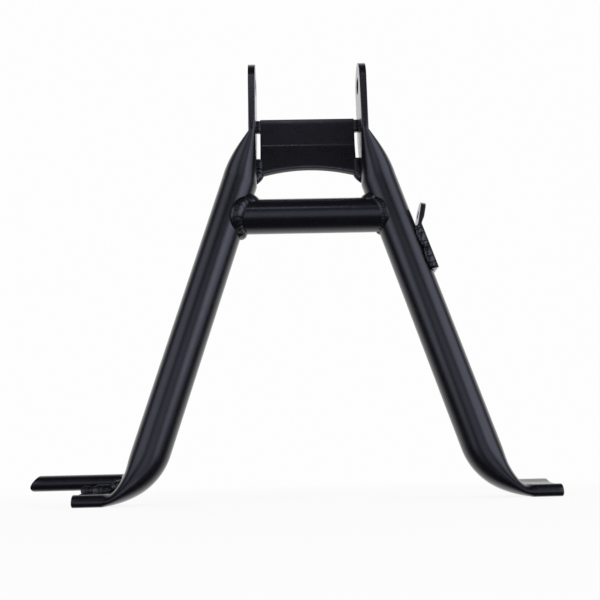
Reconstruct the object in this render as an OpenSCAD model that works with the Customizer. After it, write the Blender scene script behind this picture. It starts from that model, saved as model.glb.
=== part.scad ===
// Moped centre stand: two legs, each one tube pressed flat at both ends, joined by a coped
// cross tube and a folded bridge plate, with a foot lever, a spring hook and the weld beads.
// The origin is the middle of the pivot axis, X runs along that axis and Z points up.

/* [Leg tube] */
// Outer diameter of the leg tube
leg_d = 25.4; // [23:0.2:28]
// Wall of the leg tube
leg_wall = 2.5; // [1.8:0.1:3]
// Angle of each leg from the vertical
leg_splay = 17.5; // [14:0.5:20]
// Height from the pivot axis down to the middle of the sole
stand_h = 291.8; // [280:0.2:320]

/* [Ears] */
// Gap between the flat inner faces of the two ears
ear_gap = 74.4; // [70:0.2:80]
// Radius of the ear's nose round the pivot
ear_nose_r = 16.25; // [14:0.25:17.5]
// Diameter of the pivot hole
pivot_d = 12; // [8:0.1:14]
// Depth below the pivot where the pressed ear begins to swell into the tube
shoulder_z = 41.5; // [36:0.5:46]
// Depth below the pivot where the flat inner face ends on the round tube
flat_end_z = 77; // [72:0.5:84]

/* [Feet] */
// Thickness of the pressed foot
foot_t = 7; // [6:0.1:8]
// Distance of each foot's tip from the middle plane
foot_reach = 154.5; // [150:0.5:165]
// Radius of the sole side of the bend into the foot
bend_r = 42; // [38:0.5:48]
// Softness of the tight corner on the upper side of the bend
instep_r = 5; // [3:0.5:8]
// How far the tube's upper side is pressed in above the foot
instep_pinch = 1.6; // [0:0.1:3]
// Upward tilt of the foot's rear edge
foot_tilt = 5.5; // [0:0.5:8]

/* [Cross tube] */
// Outer diameter of the cross tube
cross_d = 24.6; // [20:0.2:25]
// Wall of the cross tube
cross_wall = 2.5; // [1.5:0.1:3]
// Depth of the cross tube's axis below the pivot
cross_z = 99.2; // [96:0.2:120]

/* [Bridge plate] */
// Thickness of the bridge plate
bridge_t = 4; // [3:0.1:5]
// Gap between each side edge of the plate and the ear beside it
bridge_side_gap = 2.4; // [1:0.1:3]
// Depth of the plate's top edge below the pivot
bridge_top_z = 19.5; // [18:0.5:24]
// Depth of the plate's fold below the pivot
bridge_fold_z = 40.5; // [38:0.5:44]
// Depth of the top of the arch below the pivot
arch_top_z = 60.3; // [56:0.1:64]
// Radius of the arched lower edge
arch_r = 112; // [95:1:140]
// Forward slope of the lower panel
bridge_slope = 14; // [8:1:18]
// Distance of the upright panel's middle behind the pivot axis
bridge_y = 14; // [12:0.2:14.4]

/* [Foot lever] */
// Diameter of the lever bar
lever_d = 10.2; // [9:0.2:12]
// Height of the lever's axis above the middle of the foot's thickness
lever_rise = 10.1; // [8:0.1:12]
// Clearance between the lever bar and the rear edge of the foot
lever_gap = 0.2; // [0.1:0.05:0.5]
// Distance of the lever's outer end from the middle plane
lever_reach = 189.5; // [180:0.5:210]
// Angle of the slanted cut at the lever's outer end
lever_cut = 32; // [0:1:45]

/* [Spring hook] */
// Thickness of the hook strip
hook_t = 2.5; // [2:0.1:4]
// Width of the hook strip, front to back
hook_w = 18; // [14:0.5:20]
// Length of the strip that lies along the leg
hook_len = 33; // [28:0.5:40]
// Length of the free tab above the bend
tab_len = 18; // [16:0.5:24]
// Angle at which the tab leans away from the leg
tab_bend = 29; // [15:1:40]
// Diameter of the spring eye in the tab
eye_d = 6; // [4:0.1:7]
// Depth of the hook's bend below the pivot
hook_z = 113.4; // [108:0.2:122]

/* [Welds] */
// Fit-up gap between parts that are welded together
fit = 0.1; // [0.05:0.05:0.3]
// Half width of the weld bead round the cross tube
bead_r = 3.4; // [2.5:0.1:4.5]
// Half width of the short weld runs
run_r = 2.7; // [2:0.1:3.2]
// Height of the ripples on a weld bead
ripple = 0.22; // [0:0.02:0.4]

/* [Hidden] */
PAINT = [0.07, 0.07, 0.08];
$fn = 96;

leg_r = leg_d / 2;
ear_t = 2 * leg_wall;
ear_x = ear_gap / 2;
cross_r = cross_d / 2;
lever_r = lever_d / 2;
sole_side = [cos(leg_splay), sin(leg_splay)];
tube_dir = [sin(leg_splay), -cos(leg_splay)];
turn = 90 - leg_splay;
overlap = 1;
tuck = 0.03;
round_sides = 32;
bore_sides = 20;
run_lap = 12;
shoulder_steps = 11;
bend_steps = 12;
hollow_from = 0.08;

// Half width of the flat on a tube pressed to the half thickness b: the wall keeps its length
function flat(b) = PI * (leg_r - b) / 2;
function mix(a, b, t) = a + (b - a) * t;
function unit(v) = v / norm(v);

// Front view of the right leg: the upper end of its round stretch, and points along its axis
tube_top = [ear_x + leg_r * sole_side.x, -flat_end_z + leg_r * sole_side.y];
function axis_x(z) = tube_top.x + (tube_top.y - z) * tan(leg_splay);
bend_centre = [axis_x(bend_r - stand_h) + (bend_r - leg_r) / cos(leg_splay), bend_r - stand_h];
tube_end = bend_centre - (bend_r - leg_r) * sole_side;
tube_len = norm(tube_end - tube_top);

// The shoulder's outer line is a Bezier curve that leaves the ear at an angle
shoulder = [
    [ear_x + ear_t, -shoulder_z],
    [ear_x + ear_t + 6, -shoulder_z - 6],
    tube_top + leg_r * sole_side - 15 * tube_dir,
    tube_top + leg_r * sole_side
];
function bezier(p, t) =
    p[0] * pow(1 - t, 3) + 3 * p[1] * t * pow(1 - t, 2) + 3 * p[2] * t * t * (1 - t) + p[3] * pow(t, 3);
function shoulder_inner(t) = [ear_x, mix(-shoulder_z, -flat_end_z, t)];

// The bend is cut by rays from its centre, turned by a from the leg's own section
function upper_ray(a) =
    let (
        leg_side = (bend_r - leg_d + instep_pinch * pow(a / turn, 2)) / cos(a),
        foot_side = (bend_r - foot_t) / cos(turn - a),
        soft = max(0, instep_r - abs(leg_side - foot_side)) / instep_r
    )
    min(leg_side, foot_side) - soft * soft * instep_r / 4;
function ray_dir(a) = [-cos(leg_splay + a), -sin(leg_splay + a)];

// A section holds its inner and outer point in the front view, its tilt, and how far it still
// bulges: 0 where it has flat sides and 1 where it is an oval
function shoulder_section(t) = [shoulder_inner(t), bezier(shoulder, t), 0, 0];
function bend_section(a) =
    [bend_centre + bend_r * ray_dir(a), bend_centre + upper_ray(a) * ray_dir(a),
        foot_tilt * a / turn, cos(90 * pow(a / turn, 3))];
function foot_section(x, trim) =
    [[x, -stand_h + trim], [x, foot_t - stand_h - trim], foot_tilt, 0];

// One ring of points round a section, with its wall taken off when it is a bore
function section_ring(s, wall, sides, tuck_in = 0) =
    let (
        b = norm(s[1] - s[0]) / 2,
        mid = (s[0] + s[1]) / 2,
        across = unit(s[1] - s[0]),
        r = max(0.15, b - wall - tuck_in),
        f = flat(b)
    )
    [for (k = [0:sides - 1])
        let (
            a = -(k + 0.5) * 360 / sides,
            q = r * cos(a),
            y = r * sin(a) + f * mix(sin(a) > 0 ? 1 : -1, sin(a), s[3]),
            lift = y * sin(s[2])
        )
        [mid.x + q * across.x, y * cos(s[2]), mid.y + q * across.y + lift]];

// Closed solid through a list of rings
module loft(rings) {
    sides = len(rings[0]);
    last = len(rings) - 1;
    polyhedron(
        points = [for (r = rings) each r],
        faces = concat(
            [[for (k = [0:sides - 1]) k]],
            [for (i = [0:last - 1]) for (k = [0:sides - 1])
                let (n = (k + 1) % sides)
                each [
                    [i * sides + k, (i + 1) * sides + k, (i + 1) * sides + n],
                    [i * sides + k, (i + 1) * sides + n, i * sides + n]
                ]],
            [[for (k = [sides - 1:-1:0]) last * sides + k]]
        )
    );
}

// Runs a child that points along Z down the right leg's axis from the point p
module down_leg(p) {
    translate([p.x, 0, p.y]) rotate([0, 180 - leg_splay, 0]) children();
}

// A round section of the right leg at the point p of its axis
function round_section(p) = [p - leg_r * sole_side, p + leg_r * sole_side, 0, 0];
function flat_section(z) = [[ear_x, z], [ear_x + ear_t, z], 0, 0];

// Lofts end a little inside the ear and the round tube, tucked under their surfaces
module shoulder_loft(wall, sides, from) {
    loft(concat(
        [for (up = from == 0 ? [overlap, overlap / 2] : [])
            section_ring(flat_section(up - shoulder_z), wall, sides, tuck)],
        [for (i = [from == 0 ? 1 : 0:shoulder_steps - 1])
            section_ring(shoulder_section(mix(from, 1, i / shoulder_steps)), wall, sides)],
        [for (down = [overlap / 2, overlap])
            section_ring(round_section(tube_top + down * tube_dir), wall, sides, tuck)]
    ));
}

module foot_loft(wall, sides, past_tip) {
    edge = 0.8;
    loft(concat(
        [for (up = [overlap, overlap / 2])
            section_ring(round_section(tube_end - up * tube_dir), wall, sides, tuck)],
        [for (i = [1:bend_steps])
            section_ring(bend_section(turn * sin(90 * i / bend_steps)), wall, sides)],
        [section_ring(foot_section(foot_reach - edge, 0), wall, sides),
         section_ring(foot_section(foot_reach + past_tip, past_tip > 0 ? 0 : edge), wall, sides)]
    ));
}

// Flattened blank of the ear, with the rounded folds of the pressed tube
module ear_blank() {
    f = flat(ear_t / 2);
    translate([ear_x + ear_t / 2, 0, -shoulder_z]) linear_extrude(shoulder_z + ear_nose_r + overlap) {
        square([ear_t, 2 * f], center = true);
        for (side = [-1, 1]) translate([0, side * f]) circle(d = ear_t);
    }
}

// Outline of the trimmed ear seen from the side: a round nose and straight sides tangent to it
module ear_outline() {
    half = flat(ear_t / 2) + ear_t / 2;
    a = acos(ear_nose_r / norm([half, shoulder_z])) - atan2(shoulder_z, half);
    circle(r = ear_nose_r);
    polygon([
        [half, -shoulder_z - overlap], [half, -shoulder_z], [ear_nose_r * cos(a), ear_nose_r * sin(a)],
        [-ear_nose_r * cos(a), ear_nose_r * sin(a)], [-half, -shoulder_z], [-half, -shoulder_z - overlap]
    ]);
}

module ear() {
    intersection() {
        ear_blank();
        translate([ear_x - overlap, 0, 0]) rotate([90, 0, 90]) linear_extrude(ear_t + 2 * overlap) ear_outline();
    }
}

// The right leg's outer form, before it is made hollow
module leg_form() {
    ear();
    shoulder_loft(0, round_sides, 0);
    down_leg(tube_top) cylinder(h = tube_len, r = leg_r);
    foot_loft(0, round_sides, 0);
}

module leg() {
    difference() {
        leg_form();
        shoulder_loft(leg_wall, bore_sides, hollow_from);
        down_leg(tube_top) cylinder(h = tube_len, r = leg_r - leg_wall);
        foot_loft(leg_wall, bore_sides, overlap);
        translate([ear_x - overlap, 0, 0]) rotate([0, 90, 0]) cylinder(h = ear_t + 2 * overlap, d = pivot_d);
    }
}

module left_leg() {
    color(PAINT) mirror([1, 0, 0]) leg();
}

module right_leg() {
    color(PAINT) leg();
}

// A cylinder along the right leg's axis, past both ends of the cross tube
module leg_cutter(r) {
    reach = 2 * cross_d;
    top = [axis_x(reach - cross_z), reach - cross_z];
    down_leg(top) cylinder(h = 2 * reach / cos(leg_splay), r = r);
}

module cross_tube() {
    half = axis_x(-cross_z);
    color(PAINT) difference() {
        translate([-half, 0, -cross_z]) rotate([0, 90, 0]) cylinder(h = 2 * half, r = cross_r);
        translate([-half - 1, 0, -cross_z]) rotate([0, 90, 0]) cylinder(h = 2 * half + 2, r = cross_r - cross_wall);
        leg_cutter(leg_r + fit);
        mirror([1, 0, 0]) leg_cutter(leg_r + fit);
    }
}

bridge_half = ear_x - bridge_side_gap;
bridge_low_z = arch_top_z + arch_r - sqrt(arch_r * arch_r - bridge_half * bridge_half);
function panel_y(z) = bridge_y - max(0, z - bridge_fold_z) * tan(bridge_slope);

// Side view of the folded plate: the upright panel and the panel that slopes forward
module bridge_profile() {
    half = bridge_t / 2;
    low = bridge_low_z + 1;
    skew = half / cos(bridge_slope);
    mitre = half * tan(bridge_slope / 2);
    polygon([
        [bridge_y - half, -bridge_top_z], [bridge_y + half, -bridge_top_z],
        [bridge_y + half, -bridge_fold_z - mitre], [panel_y(low) + skew, -low],
        [panel_y(low) - skew, -low], [bridge_y - half, -bridge_fold_z + mitre]
    ]);
}

module bridge_plate() {
    depth = 60;
    color(PAINT) difference() {
        rotate([90, 0, 90]) linear_extrude(2 * bridge_half, center = true) bridge_profile();
        translate([0, bridge_y, -arch_top_z - arch_r]) rotate([90, 0, 0])
            cylinder(h = depth, r = arch_r, center = true);
    }
}

// The lever bar lies against the rear edge of the left foot, above and behind it, and its inner
// end stops where the foot begins to swell into the leg
lever_in = bend_centre.x - 0.08 * bend_r;
function lever_on_foot(t) = mix(lever_in, foot_reach, t);
edge_r = foot_t / 2;
foot_mid_z = edge_r - stand_h;
edge_y = flat(edge_r) * cos(foot_tilt);
edge_z = foot_mid_z + flat(edge_r) * sin(foot_tilt);
lever_z = foot_mid_z + lever_rise;
lever_y = edge_y + sqrt(pow(lever_r + edge_r + lever_gap, 2) - pow(lever_z - edge_z, 2));

module lever_bar() {
    translate([-lever_reach, lever_y, lever_z]) rotate([0, 90, 0]) cylinder(h = lever_reach - lever_in, r = lever_r);
}

module foot_lever() {
    chamfer = 2.5;
    color(PAINT) difference() {
        lever_bar();
        translate([-lever_reach, lever_y, lever_z - lever_r + chamfer]) rotate([0, lever_cut, 0])
            translate([-2 * lever_d, -lever_d, -lever_d]) cube([2 * lever_d, 2 * lever_d, 4 * lever_d]);
        translate([-lever_reach, lever_y, lever_z - lever_r + chamfer]) rotate([0, -lever_cut, 0])
            translate([-2 * lever_d, -lever_d, -4 * lever_d]) cube([2 * lever_d, 2 * lever_d, 4 * lever_d]);
    }
}

// The hook strip's frame: origin on the leg's outer side at the bend, Z down the leg, X outwards
module on_leg_side() {
    translate([axis_x(-hook_z), 0, -hook_z]) rotate([0, -leg_splay, 0]) mirror([0, 0, 1])
        translate([leg_r + fit, 0, 0]) children();
}

// Side view of the strip and the tab that is bent away from the leg
module strip_profile() {
    out = [cos(tab_bend), sin(tab_bend)];
    up = [sin(tab_bend), -cos(tab_bend)];
    polygon([
        [0, hook_len], [0, 0], tab_len * up, tab_len * up + hook_t * out,
        [hook_t, hook_t * tan(tab_bend / 2)], [hook_t, hook_len]
    ]);
}

// What is cut from the tab: the corners beside its round nose, and the spring eye
module tab_cut() {
    nose_r = 0.6 * hook_w;
    depth = 4 * hook_t;
    rotate([0, -tab_bend, 0]) {
        difference() {
            translate([-depth / 2, -hook_w, -2 * tab_len]) cube([depth, 2 * hook_w, tab_len + nose_r]);
            translate([-depth, 0, nose_r - tab_len]) rotate([0, 90, 0]) cylinder(h = 2 * depth, r = nose_r);
        }
        translate([-depth / 2, 0, hook_w / 2 - tab_len]) rotate([0, 90, 0]) cylinder(h = depth, d = eye_d);
    }
}

module spring_hook() {
    color(PAINT) on_leg_side() difference() {
        translate([0, hook_w / 2, 0]) rotate([90, 0, 0]) linear_extrude(hook_w) strip_profile();
        tab_cut();
    }
}

// Rings of a weld bead: a rippled tube through points, with its own half width at each
function bead_rings(points, widths) =
    let (last = len(points) - 1, sides = 8)
    [for (i = [0:last])
        let (
            t = unit(points[min(i + 1, last)] - points[max(i - 1, 0)]),
            u = unit(cross(t, abs(t.y) < 0.9 ? [0, 1, 0] : [1, 0, 0])),
            v = cross(t, u),
            r = widths[i] + (i % 2 == 0 ? ripple : -ripple)
        )
        [for (k = [0:sides - 1])
            let (a = (k + 0.5) * 360 / sides)
            points[i] + r * (cos(a) * u + sin(a) * v)]];

// A straight weld run from a to b, full in the middle and drawn in at both ends
module weld_run(a, b, r, steps = 9) {
    loft(bead_rings(
        [for (i = [0:steps]) mix(a, b, i / steps)],
        [for (i = [0:steps]) r * pow(sin(180 * (i + 0.45) / (steps + 0.9)), 0.4)]
    ));
}

// The middle of the bead on the saddle where the cross tube meets the right leg, at an angle
// round the cross tube: 90 is its top and 180 its front
function saddle_point(a) =
    let (
        sink = 0.32 * cross_r,
        y = (cross_r - sink * pow(cos(a), 2)) * cos(a),
        z = cross_r * sin(a),
        q = -sqrt(leg_r * leg_r - y * y),
        x = axis_x(-cross_z) + (q - z * sin(leg_splay)) / cos(leg_splay)
    )
    [x, y, z - cross_z];

// One half of the bead round the joint, widest where the two tubes lie flush
module saddle_run(from_a, to_a) {
    steps = 20;
    swell = 0.65 * bead_r;
    angles = [for (i = [0:steps]) mix(from_a, to_a, i / steps)];
    loft(bead_rings(
        [for (a = angles) saddle_point(a)],
        [for (i = [0:steps])
            (bead_r + swell * pow(cos(angles[i]), 2)) * pow(sin(180 * (i + 0.6) / (steps + 1.2)), 0.25)]
    ));
}

module front_run() {
    saddle_run(90 - run_lap, 270 + run_lap);
}

module rear_run() {
    saddle_run(2 - 90, 90 - 2);
}

module cross_tube_solid() {
    translate([0, 0, -cross_z]) rotate([0, 90, 0]) cylinder(h = 3 * ear_gap, r = cross_r, center = true);
}

module front_cross_weld() {
    color(PAINT) difference() {
        front_run();
        cross_tube_solid();
        leg_cutter(leg_r);
    }
}

module rear_cross_weld() {
    color(PAINT) difference() {
        rear_run();
        cross_tube_solid();
        leg_cutter(leg_r);
        front_run();
    }
}

module left_cross_weld_front() {
    mirror([1, 0, 0]) front_cross_weld();
}

module left_cross_weld_rear() {
    mirror([1, 0, 0]) rear_cross_weld();
}

module right_cross_weld_front() {
    front_cross_weld();
}

module right_cross_weld_rear() {
    rear_cross_weld();
}

// The extra run on top of the joint, in the corner under the ear
module top_weld(r) {
    half = 0.55 * cross_r;
    x = axis_x(-cross_z + cross_r) - leg_r / cos(leg_splay) - 0.7 * r;
    z = cross_r - cross_z + 0.55 * r;
    color(PAINT) difference() {
        weld_run([x, -half, z], [x, half, z], r, 7);
        cross_tube_solid();
        leg_cutter(leg_r);
        front_run();
        rear_run();
    }
}

module left_top_weld() {
    mirror([1, 0, 0]) top_weld(1.05 * bead_r);
}

module right_top_weld() {
    top_weld(0.75 * bead_r);
}

// The drop of weld metal in the corner under the left joint
module left_bottom_weld() {
    r = 0.85 * bead_r;
    half = 0.3 * cross_r;
    x = axis_x(-cross_z - cross_r) - leg_r / cos(leg_splay) + 0.1 * bead_r;
    z = -cross_z - cross_r - 0.9 * bead_r;
    color(PAINT) mirror([1, 0, 0]) difference() {
        weld_run([x, -half, z], [x, half, z], r, 7);
        cross_tube_solid();
        leg_cutter(leg_r);
        front_run();
        rear_run();
    }
}

// Bridge welds fill the gap between the plate's side edge and the ear
module bridge_weld(from_z, to_z, r) {
    x = ear_x - bridge_side_gap / 2;
    color(PAINT) difference() {
        weld_run([x, panel_y(from_z), -from_z], [x, panel_y(to_z), -to_z], r);
        rotate([90, 0, 90]) linear_extrude(2 * bridge_half, center = true) bridge_profile();
        ear();
        if (to_z > shoulder_z) shoulder_loft(0, round_sides, 0);
    }
}

module upper_bridge_weld() {
    bridge_weld(bridge_top_z + 0.5, bridge_top_z + 10, run_r);
}

module lower_bridge_weld() {
    bridge_weld(bridge_fold_z + 12, bridge_low_z + 3, 1.25 * run_r);
}

module bridge_weld_left_upper() {
    mirror([1, 0, 0]) upper_bridge_weld();
}

module bridge_weld_right_upper() {
    upper_bridge_weld();
}

module bridge_weld_left_lower() {
    mirror([1, 0, 0]) lower_bridge_weld();
}

module bridge_weld_right_lower() {
    lower_bridge_weld();
}

// Lever welds run in the front groove between the bar and the top of the foot
module lever_weld(from_x, to_x, r, rise = 0) {
    y = lever_y - lever_r - 1;
    z = lever_z - 2 + rise;
    color(PAINT) difference() {
        weld_run([-from_x, y, z], [-to_x, y, z], r);
        lever_bar();
        mirror([1, 0, 0]) foot_loft(0, round_sides, 0);
    }
}

module lever_tip_weld() {
    lever_weld(lever_on_foot(1.04), lever_on_foot(0.73), 1.2 * run_r);
}

module lever_foot_weld() {
    lever_weld(lever_on_foot(0.69), lever_on_foot(0.12), 1.3 * run_r);
}

module lever_leg_weld() {
    lever_weld(lever_on_foot(0.09), lever_in - 3 * run_r, 1.2 * run_r, 1);
}

// Hook welds lie in the wedge between the strip and the round of the leg
module hook_weld(from_z, to_z, side) {
    x = -0.4 * run_r;
    y = side * (hook_w / 2 - 0.2 * run_r);
    color(PAINT) difference() {
        on_leg_side() weld_run([x, y, from_z], [x, y, to_z], run_r);
        leg_cutter(leg_r);
        on_leg_side() translate([0, -hook_w / 2, 0]) cube([hook_t, hook_w, hook_len]);
    }
}

module hook_weld_upper() {
    hook_weld(0.06 * hook_len, 0.46 * hook_len, -1);
}

module hook_weld_lower() {
    hook_weld(0.54 * hook_len, 0.97 * hook_len, -1);
}

module hook_weld_rear() {
    hook_weld(0.1 * hook_len, 0.9 * hook_len, 1);
}

left_leg();
right_leg();
cross_tube();
bridge_plate();
foot_lever();
spring_hook();
left_cross_weld_front();
left_cross_weld_rear();
right_cross_weld_front();
right_cross_weld_rear();
left_top_weld();
right_top_weld();
left_bottom_weld();
bridge_weld_left_upper();
bridge_weld_right_upper();
bridge_weld_left_lower();
bridge_weld_right_lower();
lever_tip_weld();
lever_foot_weld();
lever_leg_weld();
hook_weld_upper();
hook_weld_lower();
hook_weld_rear();
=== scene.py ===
import math

import bmesh
import bpy
from mathutils import Matrix, Vector


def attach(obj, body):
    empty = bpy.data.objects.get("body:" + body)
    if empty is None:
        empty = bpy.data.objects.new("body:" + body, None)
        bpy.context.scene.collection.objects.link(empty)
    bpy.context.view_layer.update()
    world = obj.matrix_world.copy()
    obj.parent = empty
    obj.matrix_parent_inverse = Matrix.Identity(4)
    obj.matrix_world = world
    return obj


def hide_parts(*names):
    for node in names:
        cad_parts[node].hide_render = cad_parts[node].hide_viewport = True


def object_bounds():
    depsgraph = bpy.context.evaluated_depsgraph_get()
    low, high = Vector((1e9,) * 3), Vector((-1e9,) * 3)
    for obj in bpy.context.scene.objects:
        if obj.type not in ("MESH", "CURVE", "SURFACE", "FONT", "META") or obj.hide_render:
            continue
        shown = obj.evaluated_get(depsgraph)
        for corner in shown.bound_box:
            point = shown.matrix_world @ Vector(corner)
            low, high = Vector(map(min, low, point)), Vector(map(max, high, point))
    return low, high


bl_info = {
    "name": "Moped centre stand",
    "version": (1, 0, 0),
    "blender": (4, 5, 0),
    "location": "View3D > Sidebar > Stand",
    "description": "Builds a painted moped centre stand with its welds",
    "category": "Add Mesh",
}

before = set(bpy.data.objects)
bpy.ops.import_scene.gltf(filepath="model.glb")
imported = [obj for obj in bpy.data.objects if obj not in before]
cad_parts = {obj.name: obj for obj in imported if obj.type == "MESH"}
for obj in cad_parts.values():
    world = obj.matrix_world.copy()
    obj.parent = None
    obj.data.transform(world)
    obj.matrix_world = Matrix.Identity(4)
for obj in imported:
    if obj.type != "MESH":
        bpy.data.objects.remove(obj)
CAD_BOX = [list(corner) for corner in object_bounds()]
MM = 0.001
LEG_SIDES = 96
TURNED_SIDES = 96
FLAT_STEPS = 10
LEG_STEPS = 44
EDGE_SHARP = math.radians(38)
WHITE = (1.0, 1.0, 1.0, 1.0)
WELD_SPACING = 0.22 * MM
MIRROR = Matrix.Diagonal((-1, 1, 1, 1))
# Share of the foot's width that each folded edge takes, and how fast the bend softens to the front
FOLD_SHARE = 0.3
FRONT_SPREAD = 1.7
# Angles in degrees round the cross tube, from the rear over the top, between which its beads run
FRONT_BEAD = (84, 276)
REAR_BEAD = (-88, 88)
# Bright places in the dark room in front of the stand, as the paint mirrors them:
# direction, brightness, and the angles in degrees where each starts and ends its fade
GLOWS = (
    ((0.0, -1.0, -0.05), 0.9, 4, 26),
    ((0.61, -0.79, -0.10), 1.1, 5, 20),
    ((-0.72, -0.68, -0.14), 0.6, 5, 20),
    ((0.0, -0.785, 0.62), 3.4, 2, 6),
    ((-0.75, -0.61, 0.24), 1.3, 8, 34),
    ((0.78, -0.57, 0.25), 1.9, 8, 38),
)
# Name, place, width and height in metres, and power in watts
SOFTBOXES = (
    ("key_left", (-0.975, -0.79, 0.17), 0.34, 0.55, 3.0),
    ("key_right", (1.01, -0.74, 0.18), 0.34, 0.55, 5.6),
    ("top", (0.0, 0.45, 1.3), 1.0, 0.6, 2.0),
)
STAND_MIDDLE = Vector((0, 0, -0.12))


def length(name, millimetres, text):
    """A length that a user can change, kept in metres."""
    return bpy.props.FloatProperty(
        name=name, description=text, default=millimetres * MM, unit="LENGTH", precision=5
    )


def degrees(name, value, text):
    """An angle that a user can change."""
    return bpy.props.FloatProperty(
        name=name, description=text, default=math.radians(value), unit="ROTATION"
    )


def share(name, value, text):
    """A plain number that a user can change."""
    return bpy.props.FloatProperty(name=name, description=text, default=value, precision=4)


def colour(name, value, text):
    """A linear colour that a user can change."""
    return bpy.props.FloatVectorProperty(
        name=name, description=text, default=value, subtype="COLOR", size=3, min=0, max=1
    )


class StandTubes(bpy.types.PropertyGroup):
    """Sizes of the legs and the cross tube"""

    leg_d: length("Leg diameter", 25.4, "Outer diameter of the leg tube")
    leg_wall: length("Leg wall", 2.5, "Wall of the leg tube")
    leg_splay: degrees("Splay", 17.5, "Angle of each leg from the vertical")
    stand_h: length("Height", 291.8, "Height from the pivot axis down to the sole")
    ear_gap: length("Ear gap", 74.4, "Gap between the inner faces of the ears")
    ear_nose_r: length("Ear nose", 16.25, "Radius of the ear's nose")
    pivot_d: length("Pivot hole", 12.0, "Diameter of the pivot hole")
    shoulder_z: length("Shoulder", 41.5, "Depth where the ear begins to swell")
    flat_end_z: length("Flat end", 77.0, "Depth where the inner face meets the round tube")
    foot_t: length("Foot thickness", 7.0, "Thickness of the pressed foot")
    foot_reach: length("Foot reach", 154.5, "Distance of the foot's tip from the middle")
    bend_r: length("Bend radius", 42.0, "Radius of the sole side of the bend")
    instep_r: length("Instep softness", 2.5, "Softness of the tight side of the bend")
    instep_front: length("Instep front", 21.0, "Softness of that side at the foot's front edge")
    foot_bead: length("Foot bead", 0.9, "Extra height of the foot's edges, where the tube folds over")
    foot_dish: length("Foot dish", 0.5, "How far the foot's top is pressed in between them")
    instep_pinch: length("Instep pinch", 6.0, "How far the tube is pressed in above the foot")
    foot_tilt: degrees("Foot tilt", 5.5, "Upward tilt of the foot's rear edge")
    cross_d: length("Cross tube", 24.6, "Outer diameter of the cross tube")
    cross_wall: length("Cross tube wall", 2.5, "Wall of the cross tube")
    cross_z: length("Cross tube depth", 99.2, "Depth of the cross tube below the pivot")


class StandPlates(bpy.types.PropertyGroup):
    """Sizes of the bridge plate, the foot lever and the spring hook"""

    bridge_t: length("Bridge thickness", 4.0, "Thickness of the bridge plate")
    bridge_gap: length("Bridge side gap", 2.4, "Gap between the plate and each ear")
    bridge_top_z: length("Bridge top", 19.5, "Depth of the plate's top edge")
    bridge_fold_z: length("Bridge fold", 40.5, "Depth of the plate's fold")
    arch_top_z: length("Arch top", 60.3, "Depth of the top of the arch")
    arch_r: length("Arch radius", 112.0, "Radius of the arched edge")
    bridge_slope: degrees("Bridge slope", 14.0, "Forward slope of the lower panel")
    bridge_y: length("Bridge place", 14.0, "Distance of the plate behind the pivot axis")
    lever_d: length("Lever diameter", 10.2, "Diameter of the lever bar")
    lever_rise: length("Lever rise", 10.1, "Height of the lever above the foot's middle")
    lever_gap: length("Lever gap", 0.2, "Clearance between the lever and the foot")
    lever_reach: length("Lever reach", 189.5, "Distance of the lever's end from the middle")
    lever_cut: degrees("Lever cut", 32.0, "Angle of the slanted cut at its end")
    hook_t: length("Hook thickness", 2.5, "Thickness of the hook strip")
    hook_w: length("Hook width", 18.0, "Width of the hook strip")
    hook_len: length("Hook length", 33.0, "Length of the strip on the leg")
    tab_len: length("Tab length", 18.0, "Length of the free tab")
    tab_bend: degrees("Tab bend", 29.0, "Angle of the tab from the leg")
    eye_d: length("Spring eye", 6.0, "Diameter of the spring eye")
    hook_z: length("Hook depth", 113.4, "Depth of the hook's bend")
    fit: length("Fit-up gap", 0.1, "Gap between parts before they are welded")


class StandWelds(bpy.types.PropertyGroup):
    """Sizes of the weld beads"""

    bead_r: length("Joint bead", 3.4, "Half width of the beads round the cross tube")
    run_r: length("Short bead", 2.7, "Half width of the short runs")
    pitch: length("Ripple pitch", 2.3, "Distance from one ripple to the next")
    ripple: length("Ripple height", 0.42, "Height of a ripple")
    lag: share("Ripple lag", 0.9, "How far a ripple trails at the bead's edges")
    wander: length("Wander", 0.35, "Unevenness of the bead")
    sides: bpy.props.IntProperty(name="Sides", description="Facets round a bead", default=28)


class StandFinish(bpy.types.PropertyGroup):
    """Colours and gloss of the paint"""

    paint: colour("Paint", (0.0028, 0.0028, 0.0044), "Colour of the paint")
    paint_thin: colour("Thin paint", (0.0044, 0.0043, 0.0062), "Colour where the paint is thin")
    gloss: share("Roughness", 0.29, "Roughness of the paint")
    gloss_spread: share("Roughness spread", 0.06, "How much the roughness varies")
    film: share("Film", 0.5, "How much of a smooth film the paint has on top")
    film_gloss: share("Film roughness", 0.14, "Roughness of that film")
    grain: share("Weld grain", 0.15, "Strength of the fine grain on the welds")
    peel: length("Orange peel", 0.9, "Size of the paint's fine unevenness")
    peel_depth: share("Peel depth", 0.02, "Strength of the fine unevenness")


class StandStage(bpy.types.PropertyGroup):
    """The floor, the lights and the camera"""

    floor: colour("Floor", (0.90, 0.885, 0.85), "Colour of the floor")
    lamp: colour("Lamps", (0.76, 0.775, 1.0), "Colour of the softboxes")
    backdrop: share("Backdrop", 0.985, "Brightness of the backdrop as the camera sees it")
    shadow: share("Shadow", 0.13, "How much of the floor's own light and shadow the camera sees")
    fill: share("Fill", 0.5, "Strength of the even light from all sides")
    front: share("Front", 0.05, "Brightness of the dark room in front, as the paint mirrors it")
    camera_x: length("Camera X", -17.323, "Camera place along X")
    camera_y: length("Camera Y", -502.892, "Camera place along Y")
    camera_z: length("Camera Z", -272.364, "Camera place along Z")
    yaw: degrees("Yaw", 1.002, "Turn of the camera towards +X")
    pitch: degrees("Pitch", 12.634, "Upward tilt of the camera")
    roll: degrees("Roll", -1.362, "Roll of the camera")
    lens: share("Lens", 45.122, "Focal length in millimetres on a 36 mm sensor")


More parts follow.
